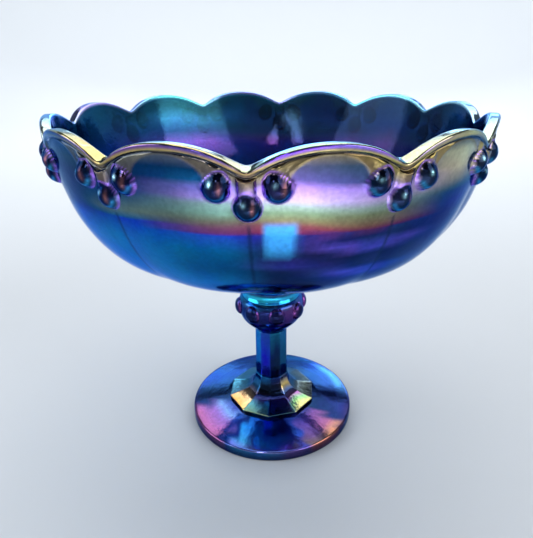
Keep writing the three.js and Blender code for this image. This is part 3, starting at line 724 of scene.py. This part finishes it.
# the lustre's colours round the bowl, with painted reflections, highlights and shade laid into them: the
# bright violet, pale green and gold bands across the front panels, bright blue glints low on the right, the
# bright rim land, the dark upper walls and the dark inside
bowl_film_and_painted_light = {
    -75: AZURE_BANDS + [
        (150, 0.0, 0.30, 0.80, 0.55), (157, 0.02, 0.08, 0.20, 0.5), (163, 0.03, 0.05, 0.09, 0.5),
        (180, 0.05, 0.06, 0.08, 0.5), (190, 0.02, 0.03, 0.05, 0.5), (197, 0.06, 0.07, 0.08, 0.5),
        (204, 0.45, 0.70, 0.75, 0.6), (210, 0.75, 0.98, 1.00, 0.9), (216, 0.60, 0.90, 1.00, 0.9),
    ] + DARK_INSIDE,
    -46: AZURE_BANDS + [
        (155, 0.0, 0.34, 0.90, 0.6), (166, 0.0, 0.16, 0.70, 0.55), (171, 0.01, 0.05, 0.20, 0.5),
        (177, 0.01, 0.03, 0.08, 0.5), (188, 0.02, 0.03, 0.05, 0.5), (196, 0.10, 0.11, 0.06, 0.5),
        (202.4, 0.04, 0.10, 0.18, 0.5), (203.4, 0.01, 0.01, 0.03, 0.6), (204.4, 0.35, 0.30, 0.12, 0.7),
        (205.6, 0.10, 0.12, 0.25, 0.7), (210, 0.98, 0.80, 0.35, 0.9), (216, 0.95, 0.72, 0.28, 0.9),
    ] + DARK_INSIDE,
    -26: AZURE_BANDS + [
        (150, 0.0, 0.32, 0.75, 0.6), (162, 0.0, 0.20, 0.80, 0.6), (171, 0.01, 0.06, 0.75, 0.55),
        (172, 0.05, 0.20, 0.35, 0.55), (175, 0.20, 0.30, 0.22, 0.6), (179, 0.10, 0.20, 0.25, 0.6),
        (184, 0.0, 0.07, 0.26, 0.6), (191, 0.0, 0.02, 0.10, 0.6), (198, 0.0, 0.05, 0.16, 0.6),
        (202.4, 0.10, 0.16, 0.20, 0.6), (203.4, 0.01, 0.01, 0.03, 0.6), (204.4, 0.60, 0.42, 0.12, 0.8),
        (205.6, 0.16, 0.09, 0.30, 0.8), (207, 0.20, 0.12, 0.30, 0.8), (210, 0.80, 0.66, 0.30, 0.9),
        (216, 0.66, 0.50, 0.20, 0.9),
    ] + DARK_INSIDE,
    -6: AZURE_BANDS + [
        (148, 0.0, 0.18, 0.42, 0.55), (160, 0.0, 0.20, 0.55, 0.55), (167.5, 0.02, 0.06, 0.75, 0.55),
        (168.5, 0.22, 0.04, 0.22, 0.5), (171, 0.24, 0.07, 0.14, 0.5), (174, 0.20, 0.18, 0.12, 0.55),
        (178, 0.22, 0.42, 0.30, 0.6), (182, 0.30, 0.50, 0.45, 0.6), (185, 0.45, 0.32, 0.90, 0.65),
        (189, 0.30, 0.25, 0.90, 0.65), (192, 0.01, 0.14, 0.50, 0.6), (197, 0.0, 0.05, 0.18, 0.6),
        (202.4, 0.16, 0.18, 0.24, 0.6), (203.4, 0.01, 0.01, 0.03, 0.6), (204.4, 0.65, 0.45, 0.15, 0.8),
        (205.6, 0.20, 0.10, 0.50, 0.85), (207, 0.22, 0.14, 0.40, 0.85), (209, 0.70, 0.55, 0.20, 0.9),
        (212, 0.80, 0.78, 0.48, 0.9), (216, 0.50, 0.36, 0.16, 0.9),
    ] + DARK_INSIDE,
    6: NAVY_BANDS + [
        (138, 0.02, 0.02, 0.08, 0.5), (148, 0.02, 0.03, 0.14, 0.5), (152, 0.10, 0.07, 0.70, 0.6),
        (156, 0.02, 0.02, 0.12, 0.5), (168, 0.03, 0.03, 0.30, 0.5), (169, 0.35, 0.03, 0.12, 0.6),
        (172.5, 0.40, 0.10, 0.12, 0.6), (174.5, 0.32, 0.26, 0.12, 0.65), (178, 0.26, 0.38, 0.22, 0.6),
        (181, 0.40, 0.55, 0.46, 0.65), (184, 0.80, 0.60, 0.99, 0.65), (190, 0.50, 0.30, 0.95, 0.65),
        (193, 0.12, 0.10, 0.36, 0.6), (199, 0.08, 0.08, 0.16, 0.6), (202.4, 0.25, 0.18, 0.16, 0.6),
        (203.4, 0.01, 0.01, 0.03, 0.6), (204.4, 0.60, 0.42, 0.15, 0.8), (205.6, 0.20, 0.09, 0.85, 0.9),
        (207, 0.20, 0.10, 0.80, 0.9), (209, 0.45, 0.60, 0.45, 0.9), (212, 0.62, 0.85, 0.66, 0.9),
        (216, 0.30, 0.30, 0.70, 0.9),
    ] + DARK_INSIDE,
    24: NAVY_BANDS + [
        (142, 0.03, 0.05, 0.25, 0.5), (147, 0.16, 0.16, 1.00, 0.8), (151, 0.02, 0.03, 0.16, 0.5),
        (158, 0.02, 0.02, 0.14, 0.5), (162, 0.20, 0.14, 1.00, 0.8), (166, 0.02, 0.02, 0.20, 0.5),
        (170, 0.03, 0.04, 0.35, 0.5), (171, 0.30, 0.04, 0.10, 0.6), (173.5, 0.35, 0.22, 0.10, 0.6),
        (178, 0.28, 0.34, 0.16, 0.6), (181, 0.36, 0.50, 0.42, 0.65), (185, 0.70, 0.52, 0.99, 0.65),
        (190, 0.42, 0.28, 0.90, 0.65), (193, 0.08, 0.10, 0.32, 0.6), (199, 0.04, 0.08, 0.15, 0.6),
        (202.4, 0.26, 0.24, 0.12, 0.6), (203.4, 0.01, 0.01, 0.03, 0.6), (204.4, 0.60, 0.48, 0.14, 0.8),
        (205.6, 0.26, 0.16, 0.70, 0.85), (207, 0.30, 0.20, 0.60, 0.85), (209, 0.60, 0.55, 0.30, 0.9),
        (212, 0.66, 0.80, 0.52, 0.9), (216, 0.60, 0.45, 0.22, 0.9),
    ] + DARK_INSIDE,
    48: NAVY_BANDS + [
        (150, 0.02, 0.04, 0.16, 0.5), (168, 0.01, 0.02, 0.14, 0.5), (175, 0.01, 0.03, 0.30, 0.5),
        (180, 0.01, 0.06, 0.26, 0.5), (182, 0.10, 0.18, 0.20, 0.55), (186, 0.45, 0.42, 0.24, 0.7),
        (192, 0.80, 0.68, 0.34, 0.85), (199, 0.75, 0.72, 0.38, 0.85), (202.4, 0.30, 0.32, 0.20, 0.6),
        (203.4, 0.02, 0.02, 0.03, 0.6), (205, 0.70, 0.60, 0.22, 0.8), (210, 0.90, 0.86, 0.50, 0.9),
        (216, 0.85, 0.80, 0.45, 0.9), (220, 0.03, 0.05, 0.10, 0.35), (240, 0.01, 0.02, 0.05, 0.3),
        (315, 0.01, 0.02, 0.08, 0.3),
    ],
    78: NAVY_BANDS + [
        (155, 0.01, 0.02, 0.10, 0.5), (172, 0.05, 0.06, 0.12, 0.5), (184, 0.10, 0.13, 0.12, 0.5),
        (192, 0.45, 0.48, 0.32, 0.7), (197, 0.70, 0.85, 0.70, 0.8), (204, 0.30, 0.35, 0.35, 0.6),
        (210, 0.75, 0.98, 1.00, 0.9), (216, 0.60, 0.90, 1.00, 0.9), (220, 0.02, 0.04, 0.08, 0.35),
        (240, 0.01, 0.02, 0.05, 0.3), (315, 0.01, 0.02, 0.08, 0.3),
    ],
    150: NAVY_BANDS + [
        (165, 0.02, 0.05, 0.40, 0.5), (170, 0.30, 0.07, 0.25, 0.5), (177, 0.30, 0.36, 0.25, 0.6),
        (185, 0.40, 0.30, 0.80, 0.6), (192, 0.08, 0.10, 0.35, 0.5), (200, 0.04, 0.10, 0.20, 0.5),
        (205, 0.25, 0.30, 0.40, 0.6), (210, 0.55, 0.48, 1.00, 0.9), (216, 0.20, 0.70, 0.95, 0.9),
        (220, 0.02, 0.03, 0.06, 0.3), (240, 0.01, 0.01, 0.04, 0.3), (250, 0.05, 0.02, 0.12, 0.35),
        (260, 0.02, 0.01, 0.06, 0.3), (315, 0.01, 0.02, 0.08, 0.3),
    ],
    190: AZURE_BANDS + [
        (165, 0.02, 0.08, 0.50, 0.5), (170, 0.30, 0.07, 0.25, 0.5), (177, 0.30, 0.36, 0.25, 0.6),
        (185, 0.35, 0.35, 0.80, 0.6), (192, 0.05, 0.15, 0.40, 0.5), (200, 0.04, 0.10, 0.20, 0.5),
        (205, 0.10, 0.40, 0.40, 0.6), (210, 0.25, 0.95, 0.80, 0.9), (216, 0.45, 0.40, 1.00, 0.9),
        (220, 0.01, 0.06, 0.08, 0.35), (235, 0.01, 0.03, 0.05, 0.3), (245, 0.02, 0.03, 0.10, 0.35),
        (252, 0.10, 0.03, 0.16, 0.4), (262, 0.06, 0.02, 0.08, 0.4), (315, 0.02, 0.03, 0.15, 0.3),
    ],
    222: AZURE_BANDS + [
        (165, 0.01, 0.10, 0.45, 0.5), (185, 0.10, 0.14, 0.30, 0.5), (200, 0.06, 0.12, 0.20, 0.5),
        (205, 0.30, 0.30, 0.60, 0.6), (210, 0.60, 0.55, 1.00, 0.9), (216, 0.18, 0.85, 0.90, 0.9),
        (220, 0.01, 0.08, 0.10, 0.4), (229, 0.02, 0.14, 0.16, 0.4), (234, 0.05, 0.30, 0.50, 0.5),
        (241, 0.02, 0.10, 0.22, 0.4), (249, 0.20, 0.10, 0.50, 0.5), (260, 0.04, 0.03, 0.22, 0.4),
        (315, 0.02, 0.03, 0.15, 0.3),
    ],
    255: AZURE_BANDS + [
        (165, 0.01, 0.10, 0.45, 0.5), (180, 0.05, 0.06, 0.10, 0.5), (200, 0.06, 0.10, 0.12, 0.5),
        (205, 0.40, 0.30, 0.60, 0.6), (210, 0.85, 0.60, 0.98, 0.9), (216, 0.55, 0.45, 0.98, 0.9),
        (220, 0.01, 0.10, 0.14, 0.4), (232, 0.01, 0.10, 0.18, 0.4), (245, 0.03, 0.05, 0.28, 0.4),
        (315, 0.02, 0.03, 0.15, 0.3),
    ],
}


def touched(film_and_painted_light, mark, colour, on=1.0):
    """Lays another colour over the first where mark is, on the rows that on picks. On the bowl these marks
    are mostly painted highlights, reflections and shade.
    """
    return film_and_painted_light + (mark * on)[..., None] * (np.array(colour) - film_and_painted_light)


def painted_window_reflection(height, bearing):
    """A painted reflection of a lit window, a bright blue patch beside the front valley: 1 within it, else
    0.
    """
    sideways = ease(bearing, 2.0, 3.6) * (1 - ease(bearing, 8.4, 10.2))
    return sideways * ease(height, 155, 160) * (1 - ease(height, 172, 176))


def painted_crease_shade(height, place):
    """Painted shade on the line where two lobes meet, below the drops: 1 on it, fading within a millimetre.
    """
    across = ((place + 0.5) % 1 - 0.5) * 2 * np.pi / LOBES * rim_radius
    return np.exp(-((across / 0.8) ** 2)) * ease(height, 104, 112) * (1 - ease(height, 171, 175))


# gold for the frame: the lustre's own gold with a painted highlight
FRAME_GOLD_AND_HIGHLIGHT = (0.52, 0.36, 0.08, 0.65)
UMBER = (0.34, 0.22, 0.12, 0.6)
# painted shade, reflections and highlights for the drops
DROP_SHADE_BLUE = (0.0, 0.01, 0.05, 0.75)
LOW_REFLECTION_BLUE = (0.05, 0.35, 0.75, 0.75)
AMBER_REFLECTION = (0.42, 0.16, 0.16, 0.7)
SPOT_HIGHLIGHT_BLUE = (0.45, 0.85, 1.00, 1.0)
EDGE_HIGHLIGHT_VIOLET = (0.42, 0.20, 0.98, 0.8)
# a painted reflection of a lit window
WINDOW_REFLECTION_BLUE = (0.06, 0.45, 0.95, 0.9)
# painted shade along the lobes' creases
CREASE_SHADE = (0.01, 0.03, 0.08, 0.4)
FILM_DRIFT = 2.2  # how far the bands wander on the outer wall
DRIFT_SEED = 6.0

bowl_glass = lustre_glass("lustre_bowl", 3.2)
bowl = bowl_mesh("bowl_glass", blocks, bowl_glass)

# the way along the section for each point of the relief's rows: the bands follow the rim near it, and
# wander only lower down
past_wall = len(fine_rows) - len(outer_rows)
fine_way = np.concatenate([
    fine_rows[:len(outer_rows) + 2, 1], np.linspace(210, 216, past_wall - 7), np.linspace(217, 226, 5),
])[:, None]
rim_here = valley_top + RISE * crown_share(fine_place)
heights = blocks[1][:, :, 2]
below_rim = rim_here - heights
to_lip = heights + (bowl_high[2] - rim_here) * (1 - ease(below_rim, 4, 12))
fine_way = np.where(fine_way < 207, to_lip, fine_way)
off_rim = np.clip((204 - fine_way) / 12, 0, 1)
fine_way = fine_way + off_rim * (drifted(fine_way, fine_angles, FILM_DRIFT, DRIFT_SEED) - fine_way)
fine_film_and_painted_light = film_and_painted_light_colours(bowl_film_and_painted_light, fine_way, fine_angles)

# the frame round each panel: gold, partly the lustre's own colour and partly a painted highlight, stronger
# towards the right; then the drops: painted shade on their bodies, a painted blue reflection low down, a
# painted amber reflection, a painted pale highlight spot and a painted violet highlight round the edge;
# then painted shade along the creases and a painted reflection of a lit window
outside = (np.arange(len(fine_rows)) < len(outer_rows))[:, None] * 1.0
painted_edge_highlight, body, painted_low_reflection, painted_spot_highlight, painted_amber_reflection, neck_mark = drop_marks(heights, fine_place[None, :])
inside_by, above_spring = inside_panel(heights, fine_place[None, :])
# the band outside each arch, where gold lustre and a painted highlight are laid
frame_gold_and_highlight = (1 - ease(inside_by, -1.0, 0.6)) * ease(above_spring, -3, 5)
frame_gold_and_highlight = frame_gold_and_highlight * ease(below_rim, 3.6, 4.6)
gold_and_highlight_by_bearing = np.interp((np.degrees(fine_angles) + 180) % 360 - 180, [-180, -60, -28, 0, 30, 90, 180],
                    [0.3, 0.08, 0.2, 0.4, 0.6, 0.5, 0.3])
for mark, colour in [
    (1.15 * gold_and_highlight_by_bearing * frame_gold_and_highlight, FRAME_GOLD_AND_HIGHLIGHT),
    (0.6 * neck_mark, UMBER),
    # painted shade over each drop's body
    (0.97 * body, DROP_SHADE_BLUE),
    (0.85 * painted_low_reflection, LOW_REFLECTION_BLUE),
    (0.7 * painted_amber_reflection, AMBER_REFLECTION),
    (1.0 * painted_spot_highlight, SPOT_HIGHLIGHT_BLUE),
    (0.9 * painted_edge_highlight, EDGE_HIGHLIGHT_VIOLET),
    (0.55 * painted_crease_shade(heights, fine_place), CREASE_SHADE),
    (0.95 * painted_window_reflection(heights, np.degrees(fine_angles)), WINDOW_REFLECTION_BLUE),
]:
    fine_film_and_painted_light = touched(fine_film_and_painted_light, mark, colour, outside)

low_way = drifted(low_rows[:, 1:], coarse_angles, FILM_DRIFT, DRIFT_SEED)
low_heights = blocks[0][:, :, 2]
low_film_and_painted_light = film_and_painted_light_colours(bowl_film_and_painted_light, low_way, coarse_angles)
# painted shade along the creases, on the lower rows too
low_film_and_painted_light = touched(low_film_and_painted_light, 0.55 * painted_crease_shade(low_heights, coarse_place), CREASE_SHADE)
# the painted reflection of a lit window, on the lower rows too
low_film_and_painted_light = touched(low_film_and_painted_light, 0.95 * painted_window_reflection(low_heights, np.degrees(coarse_angles)), WINDOW_REFLECTION_BLUE)

floor_way = drifted(220 + valley_top - floor_rows[:, 1:], coarse_angles, 3, 2.0)
floor_film_and_painted_light = film_and_painted_light_colours(bowl_film_and_painted_light, floor_way, coarse_angles)
spray_film_and_painted_light(bowl, np.vstack([film_and_painted_light.reshape(-1, 4) for film_and_painted_light in (low_film_and_painted_light, fine_film_and_painted_light, floor_film_and_painted_light)]))
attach(bowl, "root")
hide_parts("bowl")

# --- Floor, light and camera --------------------------------------------------------------------
# A plain pale floor, soft lamps round the object, and a camera a little above the rim, turned a few
# degrees from a valley of the scallops.
from mathutils import Matrix, Vector

FLOOR_FLAT = 1.5  # metres out to where the sweep starts to curve up
FLOOR_BEND = 0.9
FLOOR_TOP = 1.4
FLOOR_STEPS = 128

paper = bpy.data.materials.new("pale_paper")
paper.use_nodes = True
paper_shader = paper.node_tree.nodes["Principled BSDF"]
paper_shader.inputs["Base Color"].default_value = (0.66, 0.70, 0.74, 1)
paper_shader.inputs["Roughness"].default_value = 0.9

bend = np.radians(np.linspace(0, 90, 20))
bend_points = np.column_stack([FLOOR_FLAT + FLOOR_BEND * np.sin(bend), FLOOR_BEND * (1 - np.cos(bend))])
sweep = np.vstack([bend_points, [(FLOOR_FLAT + FLOOR_BEND, FLOOR_TOP)]])
sweep_points = turned_points(sweep, np.linspace(0, 2 * np.pi, FLOOR_STEPS, endpoint=False)).reshape(-1, 3)
# seen from inside, so the faces of the sweep turn the other way
sweep_faces = quads_between(len(sweep), FLOOR_STEPS)[:, [0, 3, 2, 1]].tolist()
flat_face = list(range(FLOOR_STEPS))
floor = smooth_piece("floor", sweep_points, sweep_faces + [flat_face], paper, unit=1.0)

world = bpy.data.worlds.new("studio")
world.use_nodes = True
world.node_tree.nodes["Background"].inputs["Color"].default_value = (0.75, 0.85, 1.0, 1)
world.node_tree.nodes["Background"].inputs["Strength"].default_value = 0.10
bpy.context.scene.world = world


def area_lamp(name, width, height, power, spread=180):
    """A rectangular lamp that shines down, in metres, watts and degrees."""
    lamp = bpy.data.lights.new(name, "AREA")
    lamp.shape = "RECTANGLE"
    lamp.size = width
    lamp.size_y = height
    lamp.energy = power
    lamp.spread = np.radians(spread)
    holder = bpy.data.objects.new(name, lamp)
    bpy.context.scene.collection.objects.link(holder)
    return holder


def direction(azimuth, elevation):
    """The way out from the object in degrees. Azimuth 0 is in front and turns to the right."""
    a, e = np.radians([azimuth, elevation])
    return Vector((np.sin(a) * np.cos(e), -np.cos(a) * np.cos(e), np.sin(e)))


def softbox(name, azimuth, elevation, distance, width, height, power):
    """A lamp out from the bowl's underside, turned to face it."""
    holder = area_lamp(name, width, height, power)
    away = direction(azimuth, elevation)
    holder.location = Vector((0, 0, bowl_base * MM)) + away * distance
    holder.rotation_euler = (-away).to_track_quat("-Z", "Y").to_euler()


softbox("key", 62, 26, 1.7, 1.3, 1.3, 12)
softbox("fill", -75, 22, 1.7, 1.3, 1.3, 13)
softbox("back", 180, 48, 1.8, 1.9, 0.9, 9)
softbox("top", 180, 80, 1.8, 1.5, 1.5, 12)
softbox("low_back", 180, 20, 1.7, 1.6, 0.35, 6)
softbox("window", -12, 34, 0.7, 0.10, 0.14, 0.35)

# a narrow lamp over the floor in front, whose lit patch shows in the front panels, and one for the sweep
pool = area_lamp("pool", 0.34, 0.14, 0.62, spread=40)
pool.location = (0.07, -0.34, 0.5)
wash = area_lamp("wash", 3.0, 0.5, 22, spread=120)
wash.location = (0, 0.9, 2.2)
wash.rotation_euler = (np.radians(35), 0, 0)

AZIMUTH, ELEVATION, DISTANCE = 4.1, 16.1, 0.3287
ROLL = -0.62
LOOKS_AT = (0, 0, 0.1496)
away = direction(AZIMUTH, ELEVATION)
camera_data = bpy.data.cameras.new("camera")
camera_data.lens = 35.13
camera_data.sensor_width = 36
camera_data.shift_x = -0.0062
camera_data.shift_y = -0.1285
camera_data.clip_start = 0.01
camera = bpy.data.objects.new("camera", camera_data)
camera.location = Vector(LOOKS_AT) + away * DISTANCE
turn = (-away).to_track_quat("-Z", "Y").to_matrix() @ Matrix.Rotation(np.radians(ROLL), 3, "Z")
camera.rotation_euler = turn.to_euler()
bpy.context.scene.collection.objects.link(camera)
bpy.context.scene.camera = camera

scene = bpy.context.scene
scene.view_settings.view_transform = "Standard"
scene.cycles.max_bounces = 16
scene.cycles.transmission_bounces = 16
scene.cycles.caustics_refractive = True
